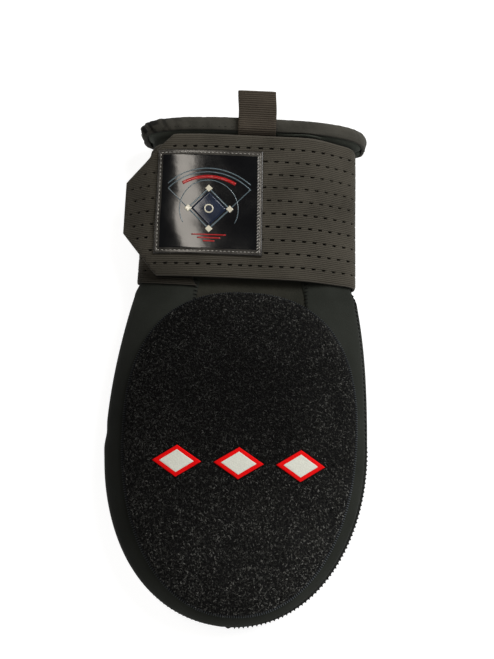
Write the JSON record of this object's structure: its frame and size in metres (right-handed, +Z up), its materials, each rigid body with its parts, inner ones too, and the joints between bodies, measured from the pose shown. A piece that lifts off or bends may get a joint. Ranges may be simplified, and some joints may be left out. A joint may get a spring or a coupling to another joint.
{
  "type": "baseball sliding mitt",
  "caption": "Padded neoprene hand guard for base running: a rounded bag with a fuzzy patch over the fingers, a wide elastic wrist strap and a webbing pull tab at the cuff.",
  "frame": {"origin": "under the middle of the mitt, on the surface that its back lies on", "axes": "+Y along the mitt from the fingertips to the cuff, +Z up out of the front with the fuzzy patch, +X to the right as seen from above with the cuff away from the viewer"},
  "size_m": [0.1392, 0.2814, 0.0443],
  "materials": {
    "neoprene": "smooth matte knit-faced neoprene",
    "gusset": "matte stretch knit",
    "loop_fabric": "fuzzy brushed loop fabric",
    "hem": "matte rolled neoprene binding",
    "elastic": "ribbed woven elastic with rows of small holes",
    "hook": "hook fabric",
    "vinyl": "glossy clear-faced vinyl with a stitched border",
    "webbing": "ribbed narrow webbing",
    "print": "white heat-transfer print with a red border"
  },
  "bodies": {
    "root": {"front_panel": "neoprene", "back_panel": "neoprene", "wrist_gusset": "gusset", "loop_patch": "loop_fabric", "cuff_binding": "hem", "wrist_strap": "elastic", "hook_pad": "hook", "gloss_patch": "vinyl", "pull_tab": "webbing", "patch_diamond_1": "print", "patch_diamond_2": "print", "patch_diamond_3": "print"}
  },
  "joints": []
}
